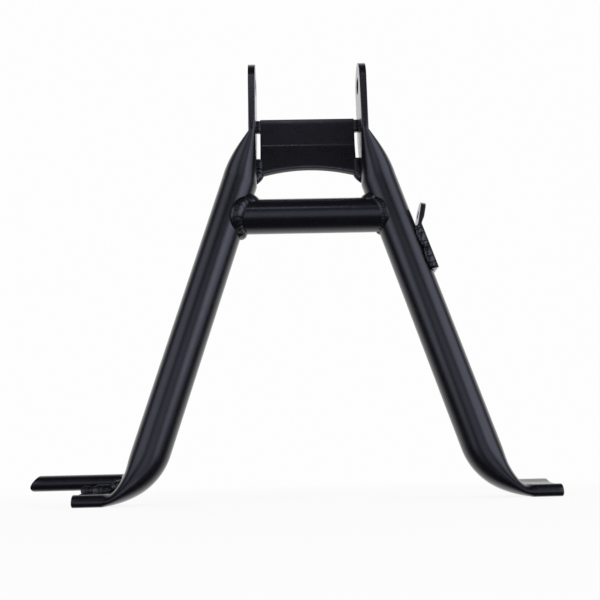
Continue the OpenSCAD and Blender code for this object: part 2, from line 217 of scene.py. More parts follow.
def mix(a, b, t):
    """A straight blend from a to b"""
    return a + (b - a) * t


def smooth(t):
    """A soft step from 0 to 1"""
    t = min(1.0, max(0.0, t))
    return t * t * (3 - 2 * t)


class Leg:
    """The right leg's form in the front view: X across and Y up in its 2-D vectors

    A section is its inner point, its outer point, its tilt, and how far its flats bulge out.
    """

    def __init__(self, tubes):
        t = self.t = tubes
        self.r = t.leg_d / 2
        self.ear_x = t.ear_gap / 2
        self.ear_t = 2 * t.leg_wall
        self.side = Vector((math.cos(t.leg_splay), math.sin(t.leg_splay)))
        self.down = Vector((math.sin(t.leg_splay), -math.cos(t.leg_splay)))
        self.turn = math.pi / 2 - t.leg_splay
        self.top = Vector((self.ear_x, -t.flat_end_z)) + self.r * self.side
        centre_z = t.bend_r - t.stand_h
        self.centre = Vector(
            (self.axis_x(centre_z) + (t.bend_r - self.r) / math.cos(t.leg_splay), centre_z)
        )
        self.end = self.centre - (t.bend_r - self.r) * self.side
        start = Vector((self.ear_x + self.ear_t, -t.shoulder_z))
        outer = self.top + self.r * self.side
        ear_handle, tube_handle = 6 * MM, 15 * MM
        leave = start + Vector((ear_handle, -ear_handle))
        self.shoulder = (start, leave, outer - tube_handle * self.down, outer)

    def axis_x(self, z):
        return self.top.x + (self.top.y - z) * math.tan(self.t.leg_splay)

    def flat(self, half):
        """Half width of the flat on a tube pressed to this half thickness: its wall keeps its length"""
        return math.pi * (self.r - half) / 2

    def ear_half(self, z):
        """Half width of the trimmed ear at a height"""
        nose = self.t.ear_nose_r
        half = self.flat(self.ear_t / 2) + self.ear_t / 2
        low = self.t.shoulder_z
        a = math.acos(nose / math.hypot(half, low)) - math.atan2(low, half)
        touch = Vector((math.cos(a), math.sin(a))) * nose
        if z > touch.y:
            return math.sqrt(max(0, nose * nose - z * z))
        return mix(half, touch.x, (z + low) / (touch.y + low))

    def ear_section(self, z):
        return Vector((self.ear_x, z)), Vector((self.ear_x + self.ear_t, z)), 0, 0

    def shoulder_section(self, t):
        p, u = self.shoulder, 1 - t
        outer = p[0] * u**3 + p[1] * 3 * t * u * u + p[2] * 3 * t * t * u + p[3] * t**3
        return Vector((self.ear_x, mix(-self.t.shoulder_z, -self.t.flat_end_z, t))), outer, 0, 0

    def round_section(self, p):
        return p - self.r * self.side, p + self.r * self.side, 0, 0

    def bend_section(self, share_of_turn, softness):
        t, a = self.t, self.turn * share_of_turn
        leg_side = (t.bend_r - t.leg_d + t.instep_pinch * share_of_turn**3) / math.cos(a)
        foot_side = (t.bend_r - t.foot_t) / math.cos(self.turn - a)
        soft = max(0, softness - abs(leg_side - foot_side)) / softness
        upper = min(leg_side, foot_side) - soft * soft * softness / 4
        ray = -Vector((math.cos(t.leg_splay + a), math.sin(t.leg_splay + a)))
        bulge = math.cos(math.pi / 2 * share_of_turn**3)
        tilt = t.foot_tilt * share_of_turn
        return self.centre + t.bend_r * ray, self.centre + upper * ray, tilt, bulge

    def foot_section(self, x):
        t = self.t
        return Vector((x, -t.stand_h)), Vector((x, t.foot_t - t.stand_h)), t.foot_tilt, 0

    def ring(self, section, inset=0.0, half_width=None, bead=0.0):
        """Points round a section, taken in by an inset and cut at a half width

        How far each point lies to the rear, from -1 to 1, is kept in rises.
        """
        inner, outer, tilt, bulge = section
        half = (outer - inner).length / 2
        middle = (inner + outer) / 2
        across = (outer - inner).normalized()
        r = max(0.15 * MM, half - inset)
        f = self.flat(half)
        dish = self.t.foot_dish * bead / max(self.t.foot_bead, 1e-9)
        outline = []
        for k in range(LEG_SIDES):
            a = -(k + 0.5) * 2 * math.pi / LEG_SIDES
            rise = math.sin(a)
            y = r * rise + f * mix(math.copysign(1, rise), rise, bulge)
            q = r * math.cos(a) + bead * max(0, math.cos(a))
            outline.append((q, y, rise))
        points = []
        for k, (q, y, rise) in enumerate(outline):
            points.append((q, y, rise))
            if k in (LEG_SIDES // 2 - 1, LEG_SIDES - 1):
                q2, y2, rise2 = outline[(k + 1) % LEG_SIDES]
                for i in range(1, FLAT_STEPS + 1):
                    t = i / (FLAT_STEPS + 1)
                    pressed = smooth(min(t, 1 - t) / FOLD_SHARE) if q > 0 else 0
                    low = pressed * (bead + dish)
                    points.append((mix(q, q2, t) - low, mix(y, y2, t), mix(rise, rise2, t)))
        placed = []
        for q, y, rise in points:
            if half_width is not None:
                y = min(half_width, max(-half_width, y))
            p = middle + q * across
            placed.append(Vector((p.x, y * math.cos(tilt), p.y + y * math.sin(tilt))))
        self.rises = [rise for q, y, rise in points]
        return placed

    def bend_ring(self, share_of_turn, inset):
        """A ring of the bend, softer at the front edge of the foot than at its rear one"""
        bead = 0 if inset else self.t.foot_bead * share_of_turn**2
        sharp = self.bend_section(share_of_turn, self.t.instep_r)
        soft = self.bend_section(share_of_turn, self.t.instep_front)
        rear, front = self.ring(sharp, inset, None, bead), self.ring(soft, inset, None, bead)
        ring = []
        for p, q, rise in zip(rear, front, self.rises):
            ring.append(p.lerp(q, smooth(-FRONT_SPREAD * rise)))
        return ring

    def wall_rings(self, inset):
        """Rings from the shoulder's start down to the foot's start"""
        steps = [i / LEG_STEPS for i in range(LEG_STEPS + 1)]
        rings = [self.ring(self.shoulder_section(t), inset) for t in steps]
        straights = 9
        for i in range(1, straights):
            p = self.top.lerp(self.end, i / straights)
            rings.append(self.ring(self.round_section(p), inset))
        rings += [self.bend_ring(t, inset) for t in steps]
        return rings

    def rings(self):
        """All rings from the nose of the ear, down the outside, and back up the bore"""
        t = self.t
        nose_steps, ear_steps, foot_steps, tip_steps = 26, 12, 6, 5
        nose_start = math.radians(3)
        edge = 0.9 * MM
        bead = t.foot_bead
        quarter = [math.pi / 2 * i / tip_steps for i in range(tip_steps + 1)]
        rings = []
        for i in range(nose_steps):
            z = t.ear_nose_r * math.cos(mix(nose_start, math.pi / 2, i / nose_steps))
            rings.append(self.ring(self.ear_section(z), 0, self.ear_half(z)))
        for i in range(ear_steps):
            z = -t.shoulder_z * i / ear_steps
            rings.append(self.ring(self.ear_section(z), 0, self.ear_half(z)))
        rings += self.wall_rings(0)
        start_x = self.bend_section(1, t.instep_r)[0].x
        for i in range(1, foot_steps + 1):
            x = mix(start_x, t.foot_reach - edge, i / foot_steps)
            rings.append(self.ring(self.foot_section(x), 0, None, bead))
        for a in quarter[1:]:
            x = t.foot_reach - edge * (1 - math.sin(a))
            rings.append(self.ring(self.foot_section(x), edge * (1 - math.cos(a)), None, bead))
        for a in quarter:
            x = t.foot_reach - edge * (1 - math.cos(a))
            rings.append(self.ring(self.foot_section(x), t.leg_wall - edge * (1 - math.sin(a))))
        for i in range(foot_steps, 0, -1):
            x = mix(start_x, t.foot_reach - 2 * edge, (i - 1) / (foot_steps - 1))
            rings.append(self.ring(self.foot_section(x), t.leg_wall))
        hollow_from = 4
        rings += reversed(self.wall_rings(t.leg_wall)[hollow_from:-1])
        return rings


def shade(mesh):
    """Smooth shading that keeps the sharp edges"""
    mesh.shade_smooth()
    mesh.set_sharp_from_angle(angle=EDGE_SHARP)


def new_piece(name, bm):
    """Turns a bmesh into a shaded object in the scene"""
    bmesh.ops.recalc_face_normals(bm, faces=bm.faces)
    mesh = bpy.data.meshes.new(name)
    bm.to_mesh(mesh)
    bm.free()
    shade(mesh)
    piece = bpy.data.objects.new(name, mesh)
    bpy.context.scene.collection.objects.link(piece)
    return piece


def skin(bm, rings):
    """Faces between each ring of vertices and the next"""
    sides = len(rings[0])
    for low, high in zip(rings, rings[1:]):
        for k in range(sides):
            n = (k + 1) % sides
            bm.faces.new((low[k], low[n], high[n], high[k]))


def close_across(bm, ring):
    """Fills a ring of vertices with faces that run from one side to the other"""
    for k in range(len(ring) // 2 - 1):
        bm.faces.new((ring[k], ring[k + 1], ring[-2 - k], ring[-1 - k]))


def loft(bm, rings):
    """Closed skin through a list of rings of points"""
    verts = [[bm.verts.new(p) for p in ring] for ring in rings]
    skin(bm, verts)
    bm.faces.new(verts[0][::-1])
    bm.faces.new(verts[-1])


def turned(bm, profile, to_place, sides=TURNED_SIDES):
    """Closed turned solid: profile holds (distance along, radius) pairs"""
    rings = []
    for along, radius in profile:
        angles = [2 * math.pi * k / sides for k in range(sides)]
        rings.append(
            [to_place @ Vector((radius * math.cos(a), radius * math.sin(a), along)) for a in angles]
        )
    loft(bm, rings)


def cut_away(piece, build_cutter):
    """Takes a cutter's solid out of a piece"""
    bm = bmesh.new()
    build_cutter(bm)
    cutter = new_piece("cutter", bm)
    cut = piece.modifiers.new("Cut", "BOOLEAN")
    cut.operation = "DIFFERENCE"
    cut.solver = "EXACT"
    cut.object = cutter
    bake(piece)
    spent = cutter.data
    bpy.data.objects.remove(cutter)
    bpy.data.meshes.remove(spent)
    shade(piece.data)


def bake(piece):
    """Replaces a piece's mesh by what its modifiers make of it"""
    bpy.context.view_layer.update()
    graph = bpy.context.evaluated_depsgraph_get()
    done = bpy.data.meshes.new_from_object(piece.evaluated_get(graph))
    old = piece.data
    piece.modifiers.clear()
    piece.data = done
    done.name = piece.name
    bpy.data.meshes.remove(old)


def soften(piece, width, segments=3, limit=38):
    """Rounds the sharp edges of a piece"""
    bevel = piece.modifiers.new("Edges", "BEVEL")
    bevel.width = width
    bevel.segments = segments
    bevel.limit_method = "ANGLE"
    bevel.angle_limit = math.radians(limit)
    bevel.harden_normals = False
    bake(piece)
    shade(piece.data)


def along_x():
    """Turns a solid that points along Z so that it points along X"""
    return Matrix.Rotation(math.pi / 2, 4, "Y")


def finish_piece(piece, material, node):
    """Paints a piece, hangs it on the frame and lets it stand for its solid"""
    piece.data.materials.clear()
    piece.data.materials.append(material)
    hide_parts(node)
    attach(piece, "root")


class Nodes:
    """A short way to add and link the nodes of a tree"""

    def __init__(self, tree):
        self.tree = tree
        tree.nodes.clear()

    def add(self, kind, inputs=(), **settings):
        node = self.tree.nodes.new(kind)
        for name, value in settings.items():
            setattr(node, name, value)
        for name, value in dict(inputs).items():
            socket = node.inputs[name]
            if isinstance(value, bpy.types.NodeSocket):
                self.tree.links.new(value, socket)
            else:
                socket.default_value = value
        return node

    def fade(self, value, low, high, at_low, at_high):
        """A soft step from one value at low to another at high"""
        span = {"From Min": low, "From Max": high, "To Min": at_low, "To Max": at_high}
        node = self.add(
            "ShaderNodeMapRange", {"Value": value, **span}, interpolation_type="SMOOTHSTEP"
        )
        return node.outputs["Result"]

    def blend(self, share_of_second, first, second):
        """Mixes two shaders"""
        shaders = {0: share_of_second, 1: first.outputs[0], 2: second.outputs[0]}
        return self.add("ShaderNodeMixShader", shaders)


def opaque(rgb):
    return (*rgb, 1.0)


def paint_material(name, finish, grain):
    """Satin black paint over steel: cloudy gloss, thin paint in spots, fine orange peel"""
    known = bpy.data.materials.get(name)
    if known:
        return known
    material = bpy.data.materials.new(name)
    material.use_nodes = True
    s = Nodes(material.node_tree)
    place = s.add("ShaderNodeTexCoord").outputs["Object"]

    def noise(scale, detail, roughness):
        """Noise over the piece: scale is in lumps a metre"""
        look = {"Vector": place, "Scale": scale, "Detail": detail, "Roughness": roughness}
        return s.add("ShaderNodeTexNoise", look).outputs["Fac"]

    clouds, streaks = noise(28.0, 5.0, 0.6), noise(160.0, 3.0, 0.5)
    peel, dust = noise(1.0 / finish.peel, 2.0, 0.45), noise(520.0, 1.0, 0.5)
    tone = s.add("ShaderNodeValToRGB", {"Fac": clouds})
    tone.color_ramp.elements[0].position = 0.38
    tone.color_ramp.elements[0].color = opaque(finish.paint)
    tone.color_ramp.elements[1].position = 0.72
    tone.color_ramp.elements[1].color = opaque(finish.paint_thin)
    gloss = s.add(
        "ShaderNodeMapRange",
        {
            "Value": streaks,
            "From Min": 0.3,
            "From Max": 0.7,
            "To Min": finish.gloss - finish.gloss_spread / 2,
            "To Max": finish.gloss + finish.gloss_spread / 2,
        },
    )
    fine = s.add(
        "ShaderNodeBump",
        {"Height": peel, "Strength": finish.peel_depth, "Distance": 0.3 * MM},
    )
    grains = s.add(
        "ShaderNodeBump",
        {
            "Height": dust,
            "Strength": grain,
            "Distance": 0.4 * MM,
            "Normal": fine.outputs["Normal"],
        },
    )
    skin = s.add(
        "ShaderNodeBsdfPrincipled",
        {
            "Base Color": tone.outputs["Color"],
            "Roughness": gloss.outputs["Result"],
            "Normal": grains.outputs["Normal"],
            "IOR": 1.5,
            "Coat Weight": finish.film,
            "Coat Roughness": finish.film_gloss,
            "Coat IOR": 1.3,
        },
    )
    out = s.add("ShaderNodeOutputMaterial")
    s.tree.links.new(skin.outputs["BSDF"], out.inputs["Surface"])
    return material


def leg_paint():
    return paint_material("Satin black paint", bpy.context.scene.stand_finish, 0.0)


def weld_paint():
    finish = bpy.context.scene.stand_finish
    return paint_material("Painted weld metal", finish, finish.grain)


def build_legs(scene):
    tubes = scene.stand_tubes
    form = Leg(tubes)
    bore_r, chamfer, clear = tubes.pivot_d / 2, 0.45 * MM, 1 * MM
    near, far = form.ear_x, form.ear_x + form.ear_t
    bore = [
        (near - clear, bore_r + chamfer + clear),
        (near + chamfer, bore_r),
        (far - chamfer, bore_r),
        (far + clear, bore_r + chamfer + clear),
    ]
    for name, mirrored in (("left", True), ("right", False)):
        bm = bmesh.new()
        loft(bm, form.rings())
        leg = new_piece("pressed_leg_" + name, bm)
        cut_away(leg, lambda cutter: turned(cutter, bore, along_x()))
        if mirrored:
            leg.data.transform(MIRROR)
            leg.data.flip_normals()
        finish_piece(leg, leg_paint(), name + "_leg")


def leg_line(form, radius, mirrored):
    """Builder of a cylinder along a leg, past both sides of the cross tube"""
    reach = 60 * MM
    z = -form.t.cross_z
    along_leg = Matrix.Rotation(math.pi - form.t.leg_splay, 4, "Y")
    place = Matrix.Translation((form.axis_x(z), 0, z)) @ along_leg
    if mirrored:
        place = MIRROR @ place
    return lambda bm: turned(bm, [(-reach, radius), (reach, radius)], place)


def build_cross_tube(scene):
    tubes = scene.stand_tubes
    form = Leg(tubes)
    r, bore_r = tubes.cross_d / 2, tubes.cross_d / 2 - tubes.cross_wall
    half = form.axis_x(-tubes.cross_z)
    place = Matrix.Translation((0, 0, -tubes.cross_z)) @ along_x()
    bm = bmesh.new()
    lengths = 12
    turned(bm, [(mix(-half, half, i / lengths), r) for i in range(lengths + 1)], place)
    tube = new_piece("cross_tube_coped", bm)
    cut_away(tube, lambda b: turned(b, [(-half - MM, bore_r), (half + MM, bore_r)], place))
    fit = scene.stand_plates.fit
    for mirrored in (False, True):
        cut_away(tube, leg_line(form, form.r + fit, mirrored))
    finish_piece(tube, leg_paint(), "cross_tube")


def panel_y(plates, z):
    """Middle of the bridge plate's thickness at a depth z below the pivot"""
    return plates.bridge_y - max(0, z - plates.bridge_fold_z) * math.tan(plates.bridge_slope)


def arch_z(plates, x):
    """Depth of the arched edge at a place across the plate"""
    return plates.arch_top_z + plates.arch_r - math.sqrt(plates.arch_r**2 - x * x)


def bridge_path(plates, depth):
    """Points down the middle of the plate's thickness and its slope there, with a radius at the fold"""
    fold_r = 9 * MM
    slope = plates.bridge_slope
    tangent = fold_r * math.tan(slope / 2)
    upper_steps, fold_steps, lower_steps = 4, 8, 8
    points = []
    for i in range(upper_steps + 1):
        z = mix(plates.bridge_top_z, plates.bridge_fold_z - tangent, i / upper_steps)
        points.append((Vector((plates.bridge_y, -z)), 0.0))
    for i in range(1, fold_steps):
        a = slope * i / fold_steps
        z = plates.bridge_fold_z - tangent + fold_r * math.sin(a)
        y = plates.bridge_y - fold_r * (1 - math.cos(a))
        points.append((Vector((y, -z)), a))
    turn_z = plates.bridge_fold_z + tangent * math.cos(slope)
    for i in range(lower_steps + 1):
        z = mix(turn_z, depth, i / lower_steps)
        points.append((Vector((panel_y(plates, z), -z)), slope))
    return points


def build_bridge(scene):
    plates = scene.stand_plates
    half = scene.stand_tubes.ear_gap / 2 - plates.bridge_gap
    columns, t = 72, plates.bridge_t / 2
    bm = bmesh.new()
    grid = []
    for i in range(columns + 1):
        x = mix(-half, half, i / columns)
        path = bridge_path(plates, arch_z(plates, x))
        front, back = [], []
        for p, a in path:
            offset = t * Vector((-math.cos(a), math.sin(a)))
            front.append(bm.verts.new((x, *(p + offset))))
            back.append(bm.verts.new((x, *(p - offset))))
        grid.append(front + back[::-1])
    skin(bm, grid)
    close_across(bm, grid[0])
    close_across(bm, grid[-1])
    plate = new_piece("bridge_plate_folded", bm)
    soften(plate, 0.45 * MM, 3, 50)
    finish_piece(plate, leg_paint(), "bridge_plate")


class Lever:
    """Where the lever bar lies against the rear edge of the left foot"""

    def __init__(self, scene):
        tubes, plates = scene.stand_tubes, scene.stand_plates
        form = Leg(tubes)
        edge_r = tubes.foot_t / 2
        middle_z = edge_r - tubes.stand_h
        self.r = plates.lever_d / 2
        self.z = middle_z + plates.lever_rise
        edge_y = form.flat(edge_r) * math.cos(tubes.foot_tilt)
        edge_z = middle_z + form.flat(edge_r) * math.sin(tubes.foot_tilt)
        apart = self.r + edge_r + plates.lever_gap
        self.y = edge_y + math.sqrt(apart**2 - (self.z - edge_z) ** 2)
        inside_bend = 0.08 * tubes.bend_r
        self.inner_x = form.centre.x - inside_bend
        self.reach = plates.lever_reach
        self.cut = plates.lever_cut
        self.foot_reach = tubes.foot_reach

    def on_foot(self, t):
        return mix(self.inner_x, self.foot_reach, t)


def build_lever(scene):
    lever = Lever(scene)
    sides, steps = 64, 10
    chamfer, nose_back = 2.5 * MM, 1.4 * MM
    hidden, cut_room = 3 * MM, 9 * MM
    bm = bmesh.new()

    def ring(x_at):
        points = []
        for k in range(sides):
            a = 2 * math.pi * (k + 0.5) / sides
            y, z = lever.r * math.sin(a), lever.r * math.cos(a)
            points.append(Vector((-x_at(z), lever.y + y, lever.z + z)))
        return points

    def slanted(z):
        height = z + lever.r
        above = max(0, (height - chamfer) / (2 * lever.r - chamfer))
        below = max(0, (chamfer - height) / chamfer)
        slant = 1.6 * lever.r * math.tan(lever.cut)
        return lever.reach - slant * above**1.5 - nose_back * below**2

    start, stop = lever.inner_x - hidden, lever.reach - cut_room
    places = [mix(start, stop, i / steps) for i in range(steps + 1)]
    rings = [[bm.verts.new(p) for p in ring(lambda z, x=x: x)] for x in places]
    rings.append([bm.verts.new(p) for p in ring(slanted)])
    skin(bm, rings)
    bm.faces.new(rings[0])
    close_across(bm, rings[-1])
    bar = new_piece("foot_lever_bar", bm)
    soften(bar, 1.1 * MM, 4, 30)
    finish_piece(bar, leg_paint(), "foot_lever")


def on_leg_side(scene):
    """The hook strip's place: X outwards from the leg, Z down it, origin at the strip's bend"""
    tubes, plates = scene.stand_tubes, scene.stand_plates
    form = Leg(tubes)
    return (
        Matrix.Translation((form.axis_x(-plates.hook_z), 0, -plates.hook_z))
        @ Matrix.Rotation(-tubes.leg_splay, 4, "Y")
        @ Matrix.Diagonal((1, 1, -1, 1))
        @ Matrix.Translation((form.r + plates.fit, 0, 0))
    )


def build_hook(scene):
    plates = scene.stand_plates
    place = on_leg_side(scene)
    bend, t = plates.tab_bend, plates.hook_t
    inner_r = 1.2 * MM
    nose = 0.6 * plates.hook_w
    total = plates.hook_len + plates.tab_len
    tab_rows, columns, strip_rows, bend_rows = 46, 14, 10, 10
    tab_swell, tab_blend, least = 0.9 * MM, 6 * MM, 0.4 * MM
    mid_r = inner_r + t / 2
    arc = mid_r * bend
    low, high = plates.hook_len - arc / 2, plates.hook_len + arc / 2
    # distances up the strip, closer together towards the round end of the tab
    steps = [mix(0, low, i / strip_rows) for i in range(strip_rows)]
    steps += [mix(low, high, i / bend_rows) for i in range(bend_rows)]
    steps += [mix(high, total, math.sin(math.pi / 2 * i / tab_rows)) for i in range(tab_rows + 1)]

    def frame_at(s):
        """Middle of the thickness and outward direction at a distance up the strip"""
        if s <= low:
            return Vector((t / 2, plates.hook_len - s)), Vector((1, 0))
        a = min(bend, (s - low) / mid_r)
        pivot = Vector((t / 2 + mid_r, plates.hook_len - low))
        out = Vector((math.cos(a), math.sin(a)))
        p = pivot - mid_r * out
        if s > high:
            p += (s - high) * Vector((math.sin(bend), -math.cos(bend)))
        return p, out

    bm = bmesh.new()
    inner, outer = [], []
    for s in steps:
        p, out = frame_at(s)
        half = plates.hook_w / 2
        up = s - (total - nose)
        if up > 0:
            half = min(half, math.sqrt(max(0.0, nose * nose - up * up)))
        half = max(half, least)
        ys = [mix(-half, half, j / columns) for j in range(columns + 1)]
        thicker = tab_swell * smooth((s - high) / tab_blend)
        for side, row_list in ((-1, inner), (1, outer)):
            q = p + (side * t / 2 + max(0, side) * thicker) * out
            row_list.append([bm.verts.new(place @ Vector((q.x, y, q.y))) for y in ys])
    for a, b, c, d in zip(inner, inner[1:], outer, outer[1:]):
        for j in (0, columns):
            bm.faces.new((a[j], b[j], d[j], c[j]))
    ends = ((inner[0], outer[0]), (inner[-1], outer[-1]))
    for a, b in (*zip(inner, inner[1:]), *zip(outer, outer[1:]), *ends):
        for j in range(columns):
            bm.faces.new((a[j], a[j + 1], b[j + 1], b[j]))
    hook = new_piece("spring_hook_strip", bm)
    p, out = frame_at(total - plates.hook_w / 2)
    eye = place @ Matrix.Translation((p.x, 0, p.y)) @ Matrix.Rotation(-bend, 4, "Y") @ along_x()
    deep, eye_r, eye_sides = 3 * t, plates.eye_d / 2, 48
    cut_away(hook, lambda b: turned(b, [(-deep, eye_r), (deep, eye_r)], eye, eye_sides))
    soften(hook, 0.3 * MM, 3, 50)
    finish_piece(hook, leg_paint(), "spring_hook")


def weld_tree():
    """Geometry nodes that sweep a rippled bead along a line of points"""
    tree = bpy.data.node_groups.get("Weld bead")
    if tree:
        return tree
    tree = bpy.data.node_groups.new("Weld bead", "GeometryNodeTree")
    face = tree.interface
    face.new_socket(name="Geometry", in_out="INPUT", socket_type="NodeSocketGeometry")
    for label in ("Step", "Pitch", "Ripple", "Lag", "Wander", "Height", "Seed"):
        face.new_socket(name=label, in_out="INPUT", socket_type="NodeSocketFloat")
    face.new_socket(name="Sides", in_out="INPUT", socket_type="NodeSocketInt")
    face.new_socket(name="Paint", in_out="INPUT", socket_type="NodeSocketMaterial")
    face.new_socket(name="Geometry", in_out="OUTPUT", socket_type="NodeSocketGeometry")
    add = Nodes(tree).add
    inp = add("NodeGroupInput").outputs
    # how unevenly the ripples follow each other, and the half width at which they are half as high
    sway, thin = 1.6, 0.6 * MM

    def maths(operation, a, b=0.0):
        return add("ShaderNodeMath", {0: a, 1: b}, operation=operation).outputs[0]

    def vector(operation, a, b=(0, 0, 0)):
        """Vector arithmetic: the second value of a SCALE is its factor"""
        second = "Scale" if operation == "SCALE" else 1
        node = add("ShaderNodeVectorMath", {0: a, second: b}, operation=operation)
        return node.outputs["Value" if operation == "DOT_PRODUCT" else "Vector"]

    def noise(place, scale, detail):
        """Noise that differs from bead to bead: scale is in lumps a metre"""
        look = {"Vector": place, "W": inp["Seed"], "Scale": scale, "Detail": detail}
        return add("ShaderNodeTexNoise", look, noise_dimensions="4D").outputs["Fac"]

    def stored(label, kind):
        node = add("GeometryNodeInputNamedAttribute", {"Name": label}, data_type=kind)
        return node.outputs["Attribute"]

    def store(geometry, label, kind, value):
        return add(
            "GeometryNodeStoreNamedAttribute",
            {"Geometry": geometry, "Name": label, "Value": value},
            data_type=kind,
            domain="POINT",
        ).outputs["Geometry"]

    line = add("GeometryNodeMeshToCurve", {"Mesh": inp["Geometry"]}).outputs["Curve"]
    spaced = {"Curve": line, "Length": inp["Step"]}
    line = add("GeometryNodeResampleCurve", spaced, mode="LENGTH").outputs["Curve"]
    run = add("GeometryNodeSplineParameter").outputs["Length"]
    line = store(line, "run", "FLOAT", run)
    line = store(line, "centre", "FLOAT_VECTOR", add("GeometryNodeInputPosition").outputs[0])
    circle = add("GeometryNodeCurvePrimitiveCircle", {"Resolution": inp["Sides"], "Radius": MM})
    tube = add(
        "GeometryNodeCurveToMesh",
        {"Curve": line, "Profile Curve": circle.outputs["Curve"], "Fill Caps": True},
    ).outputs["Mesh"]
    here = add("GeometryNodeInputPosition").outputs[0]
    centre, out = stored("centre", "FLOAT_VECTOR"), stored("out", "FLOAT_VECTOR")
    width, run = stored("half_width", "FLOAT"), stored("run", "FLOAT")
    ray = vector("NORMALIZE", vector("SUBTRACT", here, centre))
    facing = vector("DOT_PRODUCT", ray, out)
    trail = maths("MULTIPLY", maths("MULTIPLY", maths("SUBTRACT", 1.0, facing), width), inp["Lag"])
    unrest = noise(centre, 210.0, 1.5)
    lumps = noise(vector("ADD", centre, vector("SCALE", ray, width)), 330.0, 2.0)
    phase = maths("DIVIDE", maths("SUBTRACT", run, trail), inp["Pitch"])
    phase = maths("ADD", phase, maths("MULTIPLY", unrest, sway))
    saw = maths("SUBTRACT", maths("MULTIPLY", maths("FRACT", phase), 2.0), 1.0)
    scale_edge = maths("SQRT", maths("SUBTRACT", 1.0001, maths("MULTIPLY", saw, saw)))
    swell = maths("MULTIPLY", scale_edge, inp["Ripple"])
    swell = maths("ADD", swell, maths("MULTIPLY", maths("SUBTRACT", lumps, 0.5), inp["Wander"]))
    fade = maths("DIVIDE", width, maths("ADD", width, thin))
    reach = maths("ADD", width, maths("MULTIPLY", swell, fade))
    spoke = vector("SCALE", ray, reach)
    crown = maths("MULTIPLY", facing, width)
    lift = maths("MULTIPLY", crown, maths("SUBTRACT", inp["Height"], 1.0))
    place = vector("ADD", centre, vector("ADD", spoke, vector("SCALE", out, lift)))
    body = add("GeometryNodeSetPosition", {"Geometry": tube, "Position": place}).outputs["Geometry"]
    body = add("GeometryNodeSetShadeSmooth", {"Geometry": body}).outputs["Geometry"]
    body = add("GeometryNodeRealizeInstances", {"Geometry": body}).outputs["Geometry"]
    painted = {"Geometry": body, "Material": inp["Paint"]}
    body = add("GeometryNodeSetMaterial", painted).outputs["Geometry"]
    add("NodeGroupOutput", {0: body})
    return tree


def weld_bead(scene, name, node, run, seed, mirrored=False, **look):
    """One weld bead along a run: its points, and the half width and outward direction at each"""
    welds = scene.stand_welds
    points, widths, outs = run
    if mirrored:
        points, outs = [MIRROR @ p for p in points], [MIRROR @ o for o in outs]
    mesh = bpy.data.meshes.new(name)
    mesh.from_pydata(points, [(i, i + 1) for i in range(len(points) - 1)], [])
    mesh.attributes.new("half_width", "FLOAT", "POINT").data.foreach_set("value", widths)
    flat = [c for o in outs for c in o.normalized()]
    mesh.attributes.new("out", "FLOAT_VECTOR", "POINT").data.foreach_set("vector", flat)
    bead = bpy.data.objects.new(name, mesh)
    scene.collection.objects.link(bead)
    sweep = bead.modifiers.new("Weld", "NODES")
    sweep.node_group = weld_tree()
    values = {
        "Step": WELD_SPACING,
        "Pitch": welds.pitch * look.get("pitch", 1.0),
        "Ripple": welds.ripple * look.get("ripple", 1.0),
        "Lag": welds.lag,
        "Wander": welds.wander * look.get("wander", 1.0),
        "Height": look.get("height", 0.6),
        "Seed": seed,
        "Sides": welds.sides,
        "Paint": weld_paint(),
    }
    for item in sweep.node_group.interface.items_tree:
        if item.in_out == "INPUT" and item.name in values:
            sweep[item.identifier] = values[item.name]
    bake(bead)
    for label in ("half_width", "out", "run", "centre"):
        layer = bead.data.attributes.get(label)
        if layer:
            bead.data.attributes.remove(layer)
    bm = bmesh.new()
    bm.from_mesh(bead.data)
    bmesh.ops.remove_doubles(bm, verts=bm.verts, dist=1e-7)
    bmesh.ops.recalc_face_normals(bm, faces=bm.faces)
    bm.to_mesh(bead.data)
    bm.free()
    bead.data.shade_smooth()
    finish_piece(bead, weld_paint(), node)


def tapered(count, half):
    """Half widths along a run, drawn in at both ends"""
    end, power = 0.45, 0.3
    turns = [math.pi * (i + end) / (count - 1 + 2 * end) for i in range(count)]
    return [half * math.sin(a) ** power for a in turns]


def straight(a, b, half, out, count):
    """A straight run from a to b"""
    points = [a.lerp(b, i / (count - 1)) for i in range(count)]
    return points, tapered(count, half), [out] * count


def saddle(scene, from_a, to_a, swell):
    """The bead where the cross tube meets the right leg, between two angles round the tube

    Swell is how much wider it is at the front or rear than above and below.
    """
    tubes, welds = scene.stand_tubes, scene.stand_welds
    form = Leg(tubes)
    r = tubes.cross_d / 2
    splay = tubes.leg_splay
    axis = Vector((math.sin(splay), 0, -math.cos(splay)))
    base = Vector((form.axis_x(-tubes.cross_z), 0, -tubes.cross_z))
    count, sunk = 70, 0.3 * MM
    cut_off, blend = 7.6 * MM, 4 * MM
    points, widths, outs = [], [], []
    for i in range(count):
        a = math.radians(mix(from_a, to_a, i / (count - 1)))
        y = (r - sunk * math.cos(a) ** 2) * math.cos(a)
        z = r * math.sin(a)
        q = -math.sqrt(max(0, form.r**2 - y * y))
        x = base.x + (q - z * math.sin(splay)) / math.cos(splay)
        # the seam drawn towards the tube where the two surfaces run into each other
        limit = base.x - z * math.tan(splay) - cut_off
        over = max(0, blend - abs(x - limit)) / blend
        x = min(x, limit) - over * over * MM
        p = Vector((x, y, z - tubes.cross_z))
        off_tube = Vector((0, y, z)).normalized()
        off_leg = (p - base) - axis * (p - base).dot(axis)
        drawn = math.sin(math.pi * (i + 2) / (count + 3)) ** 0.25
        points.append(p)
        widths.append((welds.bead_r + swell * welds.bead_r * math.cos(a) ** 2) * drawn)
        outs.append(off_tube + off_leg.normalized())
    return points, widths, outs


